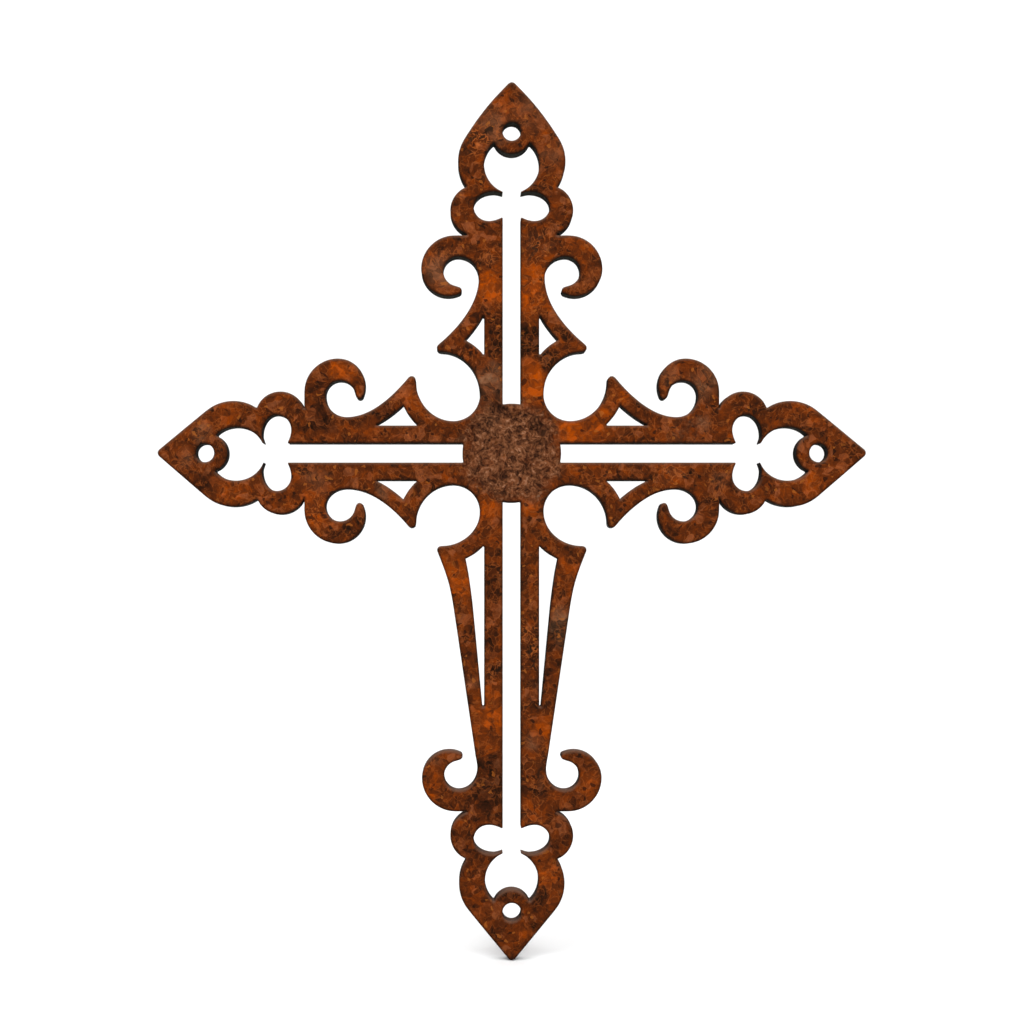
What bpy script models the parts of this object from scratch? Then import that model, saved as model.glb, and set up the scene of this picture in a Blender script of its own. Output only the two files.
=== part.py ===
"""Rusted steel wall cross: one plate, pierced and cut to a trefoil, lobe and scroll outline.

Metres, +Z up. The plate stands in the XZ plane with its front towards -Y. The origin is on the
back face, at the centre of the disc where the four arms cross.
"""
import math
from collections import namedtuple

import bmesh
import bpy

# Plate
PLATE_THICKNESS = 0.00476
CORNER_ROUND = 0.00025
CORNER_ROOM = 0.45
SHARP_TURN = math.radians(50)
SMOOTH_BELOW = math.radians(35)

# How finely curves are drawn
CHORD_ERROR = 0.00005
ARC_STEP_MOST = math.radians(45)
SWEEP_STEP = math.radians(5)
SWEEP_PULL = 0.35
WELD_DISTANCE = 0.00001

# Crossing: the slots end on the disc, and a bay lies between each two arms
DISC_RADIUS = 0.01285
SLOT_WIDTH = 0.0050
UPRIGHT_SLOT_WIDTH = 0.0047
BAR_WIDTH = 0.00465
BAY_SIDE = 0.0083
BAY_RADIUS = 0.0069

# How far each arm reaches from the centre
TOP_REACH = 0.09655
SIDE_REACH = 0.0922
FOOT_REACH = 0.13205

# Where each thorn stands, as a share of the way from the middle of the bay to the scroll
TOP_THORN_SHARE = 0.3716
SIDE_THORN_SHARE = 0.3611
FOOT_THORN_SHARE = 0.1454

# Thorn and the straps that join it to the arm
THORN_REACH = 0.01955
THORN_ROUND = 0.00105
THORN_STRAP = 0.00395
THORN_HEADING = math.radians(140)
FOOT_THORN_HEADING = math.radians(112)

# Half the width of the neck below each scroll
TOP_NECK = 0.0086
SIDE_NECK = 0.00935
FOOT_NECK = 0.00895
NECK_DROP = 0.0023
NECK_LEAD = 0.42
NECK_TRAIL = 0.29

# The foot's long straight taper and the opening beside it
KNEE_OUT = 0.0154
KNEE_ALONG = 0.0388
TAPER_EASE = 0.0035
TAPER_EASE_OUT = 0.0005
FOOT_STRAP = 0.00515
FOOT_FLARE = 0.0024
FOOT_FLARE_TURN = math.radians(6)
FOOT_WEB = 0.0136

# Scroll: an outer arc, a tighter curl that ends in a round hook, and the eye inside them
SCROLL_REACH = 0.0236
SCROLL_RADIUS = 0.00875
CURL_RADIUS = 0.0071
BAND_WIDTH = 0.0058
EYE_RADIUS = 0.00385
EYE_DROP = 0.0006
EYE_END = math.radians(-60)
HOOK_ROUND = 0.0009
HOOK_ANGLE = math.radians(-115)
HOOK_START = math.radians(115)
SCROLL_NOTCH_OUT = 0.0117
UPPER_SCROLL_LIFT = 0.0010
FOOT_SCROLL_LIFT = -0.0002

# Finial, measured back from the tip of the top arm; the other arms have it a little shorter
FINIAL_LENGTH = 0.0399
SIDE_FINIAL_SHARE = 0.957
FOOT_FINIAL_SHARE = 0.970
TIP_ROUND = 0.0012
FLANK_SWELL = math.radians(7)
SHOULDER_OUT = 0.0029
SHOULDER_BACK = 0.0206
SHOULDER_RADIUS = 0.0111
UPPER_SHOULDER_DROP = 0.00045
FOOT_SHOULDER_DROP = 0.00025
LOBE_OUT = 0.0094
LOBE_BACK = 0.0334
LOBE_RADIUS = 0.0066

# Screw hole and the round boss that carries it
HOLE_RADIUS = 0.0024
HOLE_BACK = 0.01285
BOSS_WALL = 0.00265
BOSS_DROP = 0.0008

# Bulb and ears of the trefoil opening
FINIAL_WALL = 0.0068
BULB_BACK = 0.02135
BULB_RADIUS = 0.00775
PRONG_BACK = 0.02895
EAR_WALL = 0.0061
EAR_BACK = 0.0324
EAR_TOP = 0.0039
EAR_TOP_OUT = 0.0047
EAR_BOTTOM = 0.00375
EAR_BOTTOM_OUT = 0.0060
EAR_STEP = 0.0010
EAR_RAMP = math.radians(-24)
PRONG_HEADING = math.radians(197)

# Rust
RUST_COLOUR = (0.150, 0.045, 0.013, 1.0)
RUST_ROUGHNESS = 0.82
RUST_METALLIC = 0.15

QUARTER = math.pi / 2
NODE_NAME = "cross_plate"

Arm = namedtuple("Arm", "turn reach finial thorn neck slot swell lifts drops is_foot")


def arms():
    """The four arms; each has lifts of its scrolls and drops of its shoulders, right half first."""
    side = dict(reach=SIDE_REACH, finial=SIDE_FINIAL_SHARE, thorn=SIDE_THORN_SHARE, neck=SIDE_NECK,
                slot=SLOT_WIDTH, swell=0.0, is_foot=False)
    return (
        Arm(turn=0, lifts=(0.0, UPPER_SCROLL_LIFT), drops=(0.0, UPPER_SHOULDER_DROP), **side),
        Arm(turn=1, reach=TOP_REACH, finial=1.0, thorn=TOP_THORN_SHARE, neck=TOP_NECK,
            slot=UPRIGHT_SLOT_WIDTH, swell=FLANK_SWELL, lifts=(0.0, 0.0), drops=(0.0, 0.0), is_foot=False),
        Arm(turn=2, lifts=(UPPER_SCROLL_LIFT, 0.0), drops=(UPPER_SHOULDER_DROP, 0.0), **side),
        Arm(turn=3, reach=FOOT_REACH, finial=FOOT_FINIAL_SHARE, thorn=FOOT_THORN_SHARE,
            neck=FOOT_NECK, slot=UPRIGHT_SLOT_WIDTH, swell=0.0, lifts=(FOOT_SCROLL_LIFT,) * 2,
            drops=(FOOT_SHOULDER_DROP,) * 2, is_foot=True),
    )


def polar(centre, radius, angle):
    """The point at an angle on a circle."""
    return (centre[0] + radius * math.cos(angle), centre[1] + radius * math.sin(angle))


def angle_at(centre, point):
    """The direction from a centre to a point."""
    return math.atan2(point[1] - centre[1], point[0] - centre[0])


def arc(centre, radius, start, end, height=None):
    """Points along an arc, or along an ellipse when its height is given."""
    height = height or radius
    bow = min(1.0, CHORD_ERROR / min(radius, height))
    step = min(ARC_STEP_MOST, 2 * math.acos(1 - bow))
    count = max(2, math.ceil(abs(end - start) / step))
    turns = [start + (end - start) * i / count for i in range(count + 1)]
    return [(centre[0] + radius * math.cos(t), centre[1] + height * math.sin(t)) for t in turns]


def bend(one, two):
    """The angle between two headings."""
    return abs(math.remainder(two - one, 2 * math.pi))


def sweep(start, leave, end, arrive, lead=SWEEP_PULL, trail=SWEEP_PULL):
    """A free curve between two points and headings; lead and trail are shares of its span."""
    span = math.dist(start, end)
    first = polar(start, lead * span, leave)
    second = polar(end, -trail * span, arrive)
    chord = angle_at(start, end)
    count = max(1, math.ceil((bend(leave, chord) + bend(chord, arrive)) / SWEEP_STEP))
    points = []
    for i in range(count + 1):
        t = i / count
        shares = ((1 - t) ** 3, 3 * t * (1 - t) ** 2, 3 * t * t * (1 - t), t ** 3)
        corners = (start, first, second, end)
        points.append(tuple(sum(s * c[k] for s, c in zip(shares, corners)) for k in (0, 1)))
    return points


def circles_meet(one, one_radius, two, two_radius):
    """Where two circles cross, on the right of the line from the first centre to the second."""
    gap = math.dist(one, two)
    along = (gap ** 2 + one_radius ** 2 - two_radius ** 2) / (2 * gap)
    across = math.sqrt(max(one_radius ** 2 - along ** 2, 0.0))
    heading = angle_at(one, two)
    return polar(polar(one, along, heading), across, heading - QUARTER)


def lines_meet(one, two):
    """The first crossing of two runs of points, with the number of the segment in each."""
    for i, (a, b) in enumerate(zip(one, one[1:])):
        ab = (b[0] - a[0], b[1] - a[1])
        for j, (c, d) in enumerate(zip(two, two[1:])):
            cd = (d[0] - c[0], d[1] - c[1])
            cross = ab[0] * cd[1] - ab[1] * cd[0]
            if cross == 0:
                continue
            s = ((c[0] - a[0]) * cd[1] - (c[1] - a[1]) * cd[0]) / cross
            t = ((c[0] - a[0]) * ab[1] - (c[1] - a[1]) * ab[0]) / cross
            if 0 <= s <= 1 and 0 <= t <= 1:
                return (a[0] + s * ab[0], a[1] + s * ab[1]), i, j
    raise ValueError("the two lines do not cross")


def parallel(points, distance):
    """The same run of points, moved to the left of its heading."""
    moved = []
    for i, point in enumerate(points):
        heading = angle_at(points[max(i - 1, 0)], points[min(i + 1, len(points) - 1)])
        moved.append(polar(point, distance, heading + QUARTER))
    return moved


def soften(ring):
    """A closed ring with each sharp corner turned into a small arc, as a cutting flame leaves it."""
    smooth = []
    for i, corner in enumerate(ring):
        before = ring[i - 1]
        after = ring[(i + 1) % len(ring)]
        arrive = angle_at(before, corner)
        turn = math.remainder(angle_at(corner, after) - arrive, 2 * math.pi)
        if abs(turn) < SHARP_TURN:
            smooth.append(corner)
            continue
        room = CORNER_ROOM * min(math.dist(before, corner), math.dist(corner, after))
        cut = min(CORNER_ROUND * math.tan(abs(turn) / 2), room)
        side = math.copysign(QUARTER, turn)
        radius = cut / math.tan(abs(turn) / 2)
        centre = polar(polar(corner, -cut, arrive), radius, arrive + side)
        smooth += arc(centre, radius, arrive - side, arrive - side + turn)
    return smooth


def scroll_along(arm):
    """Distance from the crossing to the middle of the arm's scrolls."""
    return arm.reach - FINIAL_LENGTH * arm.finial - SCROLL_RADIUS


def thorn_centre(arm, lift):
    """Centre of the thorn's round tip, as (out, along)."""
    bay = BAY_SIDE + BAY_RADIUS
    along = bay + arm.thorn * (scroll_along(arm) - bay)
    return (THORN_REACH - THORN_ROUND + lift / 2, along)


def neck_line(arm, lift):
    """The arm's edge from the thorn to the neck."""
    heading = FOOT_THORN_HEADING if arm.is_foot else THORN_HEADING
    start = polar(thorn_centre(arm, lift), THORN_ROUND, heading - QUARTER)
    neck = (arm.neck, scroll_along(arm) - NECK_DROP)
    if not arm.is_foot:
        return sweep(start, heading, neck, QUARTER, NECK_LEAD, NECK_TRAIL)
    knee = (KNEE_OUT, KNEE_ALONG)
    ease = (neck[0] + TAPER_EASE_OUT, neck[1] - TAPER_EASE)
    taper = angle_at(knee, ease)
    return sweep(start, heading, knee, taper) + sweep(ease, taper, neck, QUARTER)


def scroll_edge(arm, lift):
    """The edge of a scroll, from the neck through the eye and the hook to the notch above."""
    middle = scroll_along(arm)
    reach = SCROLL_REACH + lift
    neck = (arm.neck, middle - NECK_DROP)
    eye = (reach - BAND_WIDTH - EYE_RADIUS, middle - EYE_DROP)
    rise = eye[1] + EYE_RADIUS - neck[1]
    edge = arc((eye[0], neck[1]), eye[0] - neck[0], math.pi, QUARTER, rise)
    edge += arc(eye, EYE_RADIUS, QUARTER, EYE_END)[1:]
    curl = (reach - CURL_RADIUS, middle)
    hook = polar(curl, CURL_RADIUS - HOOK_ROUND, HOOK_ANGLE)
    hook_end = HOOK_ANGLE + 2 * math.pi
    edge += sweep(edge[-1], EYE_END - QUARTER, polar(hook, HOOK_ROUND, HOOK_START),
                  HOOK_START + QUARTER)[1:]
    edge += arc(hook, HOOK_ROUND, HOOK_START, hook_end)[1:]
    edge += arc(curl, CURL_RADIUS, HOOK_ANGLE, 0.0)[1:]
    edge += arc((reach - SCROLL_RADIUS, middle), SCROLL_RADIUS, 0.0, QUARTER)[1:]
    return edge + [(SCROLL_NOTCH_OUT, middle + SCROLL_RADIUS)]


def finial_edge(arm, drop):
    """The edge of the finial, from the notch above the scroll over lobe and shoulder to the tip."""
    lobe = (LOBE_OUT, arm.reach - LOBE_BACK * arm.finial)
    shoulder = (SHOULDER_OUT - drop, arm.reach - SHOULDER_BACK * arm.finial)
    tip = (0.0, arm.reach - TIP_ROUND)
    notch = circles_meet(lobe, LOBE_RADIUS, shoulder, SHOULDER_RADIUS)
    start = -math.acos(min(1.0, max(-1.0, (SCROLL_NOTCH_OUT - LOBE_OUT) / LOBE_RADIUS)))
    edge = arc(lobe, LOBE_RADIUS, start, angle_at(lobe, notch))
    spread = math.acos((SHOULDER_RADIUS - TIP_ROUND) / math.dist(shoulder, tip))
    flank = angle_at(shoulder, tip) - spread
    edge += arc(shoulder, SHOULDER_RADIUS, angle_at(shoulder, notch), flank - arm.swell)[1:]
    edge += sweep(edge[-1], flank - arm.swell + QUARTER, polar(tip, TIP_ROUND, flank + arm.swell),
                  flank + arm.swell + QUARTER)[1:]
    return edge + arc(tip, TIP_ROUND, flank + arm.swell, QUARTER)[1:]


def half_outline(arm, lift, drop):
    """The edge of half an arm, from the middle of the bay to the tip, as (out, along) points."""
    bay = (BAY_SIDE + BAY_RADIUS, BAY_SIDE + BAY_RADIUS)
    thorn = thorn_centre(arm, lift)
    edge = arc(bay, BAY_RADIUS, -0.75 * math.pi, -math.pi)
    edge += arc((thorn[0], bay[1]), thorn[0] - BAY_SIDE, math.pi, QUARTER,
                thorn[1] - THORN_ROUND - bay[1])[1:]
    neck = neck_line(arm, lift)
    edge += arc(thorn, THORN_ROUND, -QUARTER, angle_at(thorn, neck[0]))[1:]
    return edge + neck[1:] + scroll_edge(arm, lift)[1:] + finial_edge(arm, drop)


def foot_opening_edge(arm):
    """The outer side of the foot's long opening: past the knee, then straight to its far point."""
    knee = (KNEE_OUT - FOOT_STRAP, KNEE_ALONG)
    end = (SLOT_WIDTH / 2 + BAR_WIDTH, scroll_along(arm) - FOOT_WEB)
    taper = angle_at(knee, end)
    start = (knee[0] + FOOT_FLARE, thorn_centre(arm, 0.0)[1] - THORN_ROUND)
    return sweep(start, taper + FOOT_FLARE_TURN, knee, taper) + [end]


def thorn_opening(arm, lift):
    """The pointed opening between the bar, the thorn's underside and its outer strap."""
    inner = SLOT_WIDTH / 2 + BAR_WIDTH
    bay = BAY_SIDE + BAY_RADIUS
    thorn = thorn_centre(arm, lift)
    lower = arc((thorn[0], bay), thorn[0] - BAY_SIDE + BAR_WIDTH, math.pi, QUARTER,
                thorn[1] - THORN_ROUND - bay + BAR_WIDTH)
    low, _, first = lines_meet([(inner, 0.0), (inner, arm.reach)], lower)
    lower = [low] + lower[first + 1:]
    if arm.is_foot:
        edge = foot_opening_edge(arm)
    else:
        edge = parallel(neck_line(arm, lift), THORN_STRAP)
        high, last, _ = lines_meet(edge, [(inner, bay), (inner, arm.reach)])
        edge = edge[:last + 1] + [high]
    corner, last, first = lines_meet(lower, edge)
    return lower[:last + 1] + [corner] + edge[first + 1:]


def half_trefoil(arm, drop):
    """Half of the slot with its ears and bulb, from the disc to the boss of the screw hole."""
    slot = arm.slot / 2
    ear = arm.reach - EAR_BACK * arm.finial
    ear_out = LOBE_OUT + LOBE_RADIUS - EAR_WALL
    low = (EAR_BOTTOM_OUT, ear - EAR_BOTTOM)
    high = (EAR_TOP_OUT, ear + EAR_TOP)
    corner = (slot, low[1] + EAR_STEP)
    prong = (slot, arm.reach - PRONG_BACK * arm.finial)
    edge = arc((0.0, 0.0), DISC_RADIUS, QUARTER, math.acos(slot / DISC_RADIUS))
    edge += sweep(corner, EAR_RAMP, low, 0.0)
    edge += arc((low[0], ear), ear_out - low[0], -QUARTER, 0.0, EAR_BOTTOM)[1:]
    edge += arc((high[0], ear), ear_out - high[0], 0.0, QUARTER, EAR_TOP)[1:]
    edge += sweep(high, math.pi, prong, PRONG_HEADING)[1:]
    boss = (0.0, arm.reach - HOLE_BACK * arm.finial - BOSS_DROP)
    boss_radius = HOLE_RADIUS + BOSS_WALL
    bulb_out = SHOULDER_OUT - drop + SHOULDER_RADIUS - FINIAL_WALL - BULB_RADIUS
    bulb = (bulb_out, arm.reach - BULB_BACK * arm.finial)
    cusp = circles_meet(bulb, BULB_RADIUS, boss, boss_radius)
    start = -math.acos((slot - bulb_out) / BULB_RADIUS)
    edge += arc(bulb, BULB_RADIUS, start, angle_at(bulb, cusp))
    return edge + arc(boss, boss_radius, angle_at(boss, cusp), -QUARTER)[1:]


def flipped(points):
    """The mirror image of half an arm's points, in the opposite order."""
    return [(-out, along) for out, along in reversed(points)]


def placed(points, turn):
    """Arm points (out, along) as plate points (x, z), for an arm turned by so many quarters."""
    cos, sin = ((1, 0), (0, 1), (-1, 0), (0, -1))[turn]
    return [(along * cos + out * sin, along * sin - out * cos) for out, along in points]


def hole_ring(arm):
    """The screw hole in an arm's finial."""
    centre = (0.0, arm.reach - HOLE_BACK * arm.finial)
    return arc(centre, HOLE_RADIUS, 0.0, 2 * math.pi)[:-1]


def plate_rings():
    """All closed rings of the plate in (x, z): the outer edge first, then every opening."""
    outer = []
    openings = []
    for arm in arms():
        right = half_outline(arm, arm.lifts[0], arm.drops[0])
        left = flipped(half_outline(arm, arm.lifts[1], arm.drops[1]))
        outer += placed(right + left[1:-1], arm.turn)
        trefoil = half_trefoil(arm, arm.drops[0]) + flipped(half_trefoil(arm, arm.drops[1]))[1:-1]
        openings.append(placed(soften(trefoil), arm.turn))
        openings.append(placed(soften(thorn_opening(arm, arm.lifts[0])), arm.turn))
        openings.append(placed(soften(flipped(thorn_opening(arm, arm.lifts[1]))), arm.turn))
        openings.append(placed(hole_ring(arm), arm.turn))
    return [soften(outer)] + openings


def rust_material():
    """Brown rust over the whole plate."""
    material = bpy.data.materials.new("rusted_steel")
    material.use_nodes = True
    shader = material.node_tree.nodes["Principled BSDF"]
    shader.inputs["Base Color"].default_value = RUST_COLOUR
    shader.inputs["Roughness"].default_value = RUST_ROUGHNESS
    shader.inputs["Metallic"].default_value = RUST_METALLIC
    return material


def outline_curve(rings):
    """A filled and extruded 2D curve with one closed spline for each ring."""
    curve = bpy.data.curves.new("plate_outline", "CURVE")
    curve.dimensions = "2D"
    curve.fill_mode = "BOTH"
    curve.extrude = PLATE_THICKNESS / 2
    for ring in rings:
        spline = curve.splines.new("POLY")
        spline.points.add(len(ring) - 1)
        for point, (x, z) in zip(spline.points, ring):
            point.co = (x, z, 0.0, 1.0)
        spline.use_cyclic_u = True
    outline = bpy.data.objects.new("plate_outline", curve)
    outline.rotation_euler = (QUARTER, 0.0, 0.0)
    outline.location = (0.0, -PLATE_THICKNESS / 2, 0.0)
    return outline


def solid_plate(outline, collection):
    """The curve as one closed mesh, with its caps welded on."""
    collection.objects.link(outline)
    bpy.context.view_layer.update()
    depsgraph = bpy.context.evaluated_depsgraph_get()
    mesh = bpy.data.meshes.new_from_object(outline.evaluated_get(depsgraph))
    mesh.name = NODE_NAME
    solid = bmesh.new()
    solid.from_mesh(mesh)
    bmesh.ops.remove_doubles(solid, verts=solid.verts, dist=WELD_DISTANCE)
    bmesh.ops.recalc_face_normals(solid, faces=solid.faces)
    solid.to_mesh(mesh)
    solid.free()
    mesh.shade_smooth()
    mesh.set_sharp_from_angle(angle=SMOOTH_BELOW)
    plate = bpy.data.objects.new(NODE_NAME, mesh)
    plate.matrix_world = outline.matrix_world
    collection.objects.link(plate)
    curve = outline.data
    bpy.data.objects.remove(outline)
    bpy.data.curves.remove(curve)
    return plate


def main():
    """Build the wall cross in its own collection."""
    for item in list(bpy.data.objects):
        bpy.data.objects.remove(item, do_unlink=True)
    collection = bpy.data.collections.new("wall_cross")
    bpy.context.scene.collection.children.link(collection)
    plate = solid_plate(outline_curve(plate_rings()), collection)
    plate.data.materials.clear()
    plate.data.materials.append(rust_material())


main()
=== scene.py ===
"""Looks of the rusted steel wall cross: a fine mesh of the plate with its crust, and the rust itself."""

import itertools
import math

import bmesh
import bpy
import numpy as np
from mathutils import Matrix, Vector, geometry, kdtree


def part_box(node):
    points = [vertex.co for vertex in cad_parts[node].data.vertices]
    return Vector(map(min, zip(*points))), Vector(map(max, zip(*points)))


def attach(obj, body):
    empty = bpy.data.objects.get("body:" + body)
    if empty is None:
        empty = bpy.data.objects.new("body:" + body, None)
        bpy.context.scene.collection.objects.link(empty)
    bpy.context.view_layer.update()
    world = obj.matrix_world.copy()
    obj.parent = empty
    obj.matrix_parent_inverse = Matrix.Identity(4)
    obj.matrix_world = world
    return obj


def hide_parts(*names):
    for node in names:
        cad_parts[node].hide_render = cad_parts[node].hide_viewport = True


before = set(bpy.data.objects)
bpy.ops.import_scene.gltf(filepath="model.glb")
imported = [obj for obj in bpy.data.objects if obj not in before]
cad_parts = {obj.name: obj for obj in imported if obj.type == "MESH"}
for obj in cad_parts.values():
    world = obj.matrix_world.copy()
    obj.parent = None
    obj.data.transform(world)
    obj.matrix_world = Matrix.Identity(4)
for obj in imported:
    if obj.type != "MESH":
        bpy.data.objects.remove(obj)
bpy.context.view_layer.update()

MM = 0.001
NODE_NAME = "cross_plate"
PLATE_LOW, PLATE_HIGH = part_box(NODE_NAME)
FRONT = PLATE_LOW.y
BACK = PLATE_HIGH.y
FOOT_TIP = PLATE_LOW.z

# Fineness of the mesh
EDGE_STEP = 0.50 * MM
FACE_STEP = 0.41 * MM
CRUST_STEP = 0.27 * MM
BACK_STEP = 1.50 * MM
SAMPLE_STEP = 0.05 * MM
CRUST_REACH = 14.5 * MM
SHARP_TURN = math.radians(30)

# Shares of a step: between the rows of a triangular grid, its random moves, and the gaps beside it
ROW_SHARE = 0.866
JITTER = 0.14
RIM_GAP = 0.6
CRUST_GAP = 0.5
BACK_GAP = 0.5
ROW_KEPT = 0.93

# Slack for joining the solid's corners, for finding its front, and, in millimetres, for triangles
JOIN_SLACK = 0.001 * MM
FRONT_SLACK = 0.01 * MM
TRIANGLE_SLACK = 1e-5

# The least length that a direction is divided by
TINY = 1e-12

# The worn edge between the front and the walls, and the walls themselves; RIM_BAND and WALL_AT_RIM also
# set how far the painted shade and painted highlight of the rim and the walls reach
RIM_ROUND = 0.28 * MM
RIM_ROWS = (0.10 * MM, 0.30 * MM)
RIM_BAND = (0.1 * MM, 0.75 * MM)
BACK_BEVEL = 0.12 * MM
WALL_ROWS = 3
WALL_WANDER = 0.015 * MM
WANDER_SIZE = 1.3 * MM
WALL_AT_RIM = 0.75

# Relief of the front: how far it stands below the solid's face, and what stands on it
SINK = 0.24 * MM
SWAY = 0.035 * MM
SWAY_SIZE = 5.0 * MM
FLAKE_HEIGHT = 0.05 * MM
FLAKE_SIZE = 1.9 * MM
FLAKE_SEAM = 0.3
FLAKE_MIDDLE = 0.35
CURL_HEIGHT = 0.46 * MM
CURL_SIZE = 1.5 * MM
GRAIN_SIZE = 0.55 * CURL_SIZE
LUMP_SIZE = 2.6 * CURL_SIZE
RIDGE_STEEPNESS = 2.4
RIDGE_SHARE = 0.62
GRAIN_SHARE = 0.18
LUMP_SHARE = 0.35
CURL_BASE = 0.10
CURL_MIDDLE = 0.48
RELIEF_AT_EDGE = 0.35
CALM_REACH = 0.5 * MM

# Swirls, one after the other: (size of the noise, how far it pushes, seed)
RAGGED_SWIRLS = ((5.0 * MM, 1.6 * MM, 40), (1.6 * MM, 0.7 * MM, 43))
CURL_SWIRLS = ((2.6 * MM, 1.1 * MM, 10), (1.2 * MM, 0.6 * MM, 20))
FLAKE_SWIRLS = ((1.5 * MM, 0.45 * MM, 50),)

# The noise's own numbers
NOISE_GAIN = 1.7
HASH_AXES = (73856093, 19349663, 83492791)
HASH_SEED = 40503
HASH_MASK = 0xFFFFFFFF
HASH_MIXES = ((15, 739982445), (12, 695872825))
HASH_LAST = 15

# Rust patches in millimetres from the crossing: (x, z, radius, strength)
ORANGE = (
    (5.6, 18.1, 6.0, 1.0), (5.0, 23.0, 3.0, 0.5), (-4.8, 43.5, 6.0, 0.95), (5.6, 43.8, 8.0, 1.0),
    (5.3, 38.0, 4.0, 0.6), (17.3, 53.7, 4.5, 0.45), (-1.2, 90.6, 3.5, 0.35), (77.7, 11.5, 5.0, 0.6),
    (41.9, -5.1, 5.0, 0.6), (28.9, 14.6, 3.5, 0.6), (24.0, 10.6, 3.5, 0.6), (78.6, -8.2, 3.0, 0.5),
    (-44.7, 21.5, 3.5, 0.6), (-25.7, 13.6, 4.5, 0.5), (-50.7, -15.2, 6.5, 0.7), (-73.5, 9.9, 3.5, 0.4),
    (-73.5, -10.6, 4.0, 0.4), (-14.2, -32.6, 6.5, 0.85), (14.4, -29.7, 4.5, 0.5), (-4.7, -67.9, 8.0, 0.8),
    (-8.0, -75.3, 4.0, 0.8), (4.9, -36.0, 3.0, 0.4), (7.8, -72.0, 5.0, 0.6), (-8.0, -62.5, 4.0, 0.6),
    (9.2, -110.5, 5.0, 0.7), (10.8, -116.2, 4.0, 0.7), (-20.1, -85.7, 5.0, 0.5), (4.6, -93.3, 5.0, 0.5),
    (10.8, -89.5, 4.0, 0.5), (20.7, -84.6, 4.0, 0.5), (2.8, -125.0, 3.5, 0.5), (-11.7, -111.7, 3.0, 0.4),
    (15.8, 6.2, 6.0, 0.85), (21.5, 5.6, 4.5, 0.6), (1.4, -9.6, 3.5, 0.6), (-11.2, -3.4, 3.0, 0.4),
    (-6.4, -15.3, 4.0, 0.6), (4.3, -14.4, 3.0, 0.6),
)
GREY = (
    (-6.1, 18.5, 5.5, 0.9), (-19.0, 47.4, 6.0, 0.5), (10.8, 77.8, 4.0, 0.3), (50.9, 18.2, 5.0, 0.7),
    (41.0, 20.0, 3.0, 0.4), (49.5, 7.4, 2.5, 0.6), (54.0, -6.9, 2.5, 0.4), (-80.4, 5.7, 3.0, 0.5),
    (-85.6, -1.3, 3.0, 0.4), (-50.8, -6.8, 4.0, 0.4), (-33.1, -10.1, 2.5, 0.5), (12.3, -45.1, 5.0, 0.8),
    (-10.5, -59.6, 2.0, 0.5), (5.7, -75.3, 2.5, 0.5), (5.7, 7.9, 3.0, 0.7), (7.4, 4.5, 2.5, 0.7),
    (-4.2, 8.4, 5.0, 0.8), (-5.0, 84.8, 5.5, 0.45), (5.0, 88.0, 6.0, 0.35), (0.0, 0.0, 11.0, 0.55),
    (-20.0, -80.0, 2.0, 0.4),
)
DARK = (
    (-3.5, 32.6, 3.5, 0.8), (-3.5, 27.9, 3.0, 0.6), (4.7, 29.5, 4.0, 0.9), (8.8, 23.8, 3.0, 0.8),
    (14.1, 30.4, 2.5, 0.5), (-7.0, 84.8, 2.5, 0.5), (75.9, 8.8, 2.5, 0.4), (47.3, -6.0, 1.5, 0.6),
    (-49.3, 8.9, 6.0, 0.4), (-34.5, 11.3, 4.0, 0.6), (-80.4, -7.3, 2.5, 0.5), (-42.4, -19.8, 2.5, 0.5),
    (-3.8, -56.3, 2.2, 0.9), (-5.1, -49.2, 3.0, 0.4), (5.3, -51.7, 3.0, 0.6), (6.1, -60.0, 2.0, 0.7),
    (12.3, -47.0, 4.0, 0.5), (15.2, -26.0, 3.0, 0.5), (-5.5, -33.9, 5.0, 0.4), (9.0, -65.0, 1.5, 0.6),
    (-5.9, -81.5, 5.0, 0.5), (-6.0, -86.0, 6.0, 0.5), (5.8, -123.5, 1.0, 0.9), (7.7, -87.6, 3.0, 0.4),
    (6.5, -116.6, 2.5, 0.6), (-0.7, -115.5, 4.0, 0.4), (6.2, 7.0, 2.5, 0.7), (-4.5, 12.1, 2.0, 0.8),
    (-4.1, -123.1, 3.0, 0.4), (9.9, -11.0, 3.0, 0.4),
)
VEINED = (
    (-8.5, 80.4, 5.5, 1.0), (-3.0, 78.0, 3.0, 0.4), (5.6, 42.0, 6.0, 0.5), (3.5, -45.9, 4.0, 0.8),
    (5.3, -53.0, 4.0, 0.9), (5.0, -66.0, 4.0, 0.5), (41.9, -5.1, 4.0, 0.8), (-50.7, -15.2, 5.0, 0.5),
    (4.6, -93.3, 5.0, 0.6), (-19.0, 50.0, 5.0, 0.4), (-3.8, -56.3, 4.0, 0.5), (10.0, -112.0, 5.0, 0.4),
    (6.5, 53.7, 5.0, 0.9), (-6.1, 51.0, 3.0, 0.6), (6.5, -84.0, 6.0, 0.5),
)
CRUSTED = (
    (-0.4, 0.2, 14.6, 1.0), (6.5, 53.7, 4.0, 0.15), (-6.1, 51.0, 2.6, 0.20), (44.7, 4.8, 5.5, 0.25),
    (49.5, 7.4, 2.4, 0.40), (42.5, -4.5, 4.0, 0.25),
)
COLOUR_PATCHES = {"orange": ORANGE, "grey": GREY, "dark": DARK, "veined": VEINED}

# How wide a patch's soft edge is, as a share of its radius, and how much of that lies outside
PATCH_BLUR = 0.75
CRUST_BLUR = 0.35
BLUR_OUTSIDE = 0.35

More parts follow.
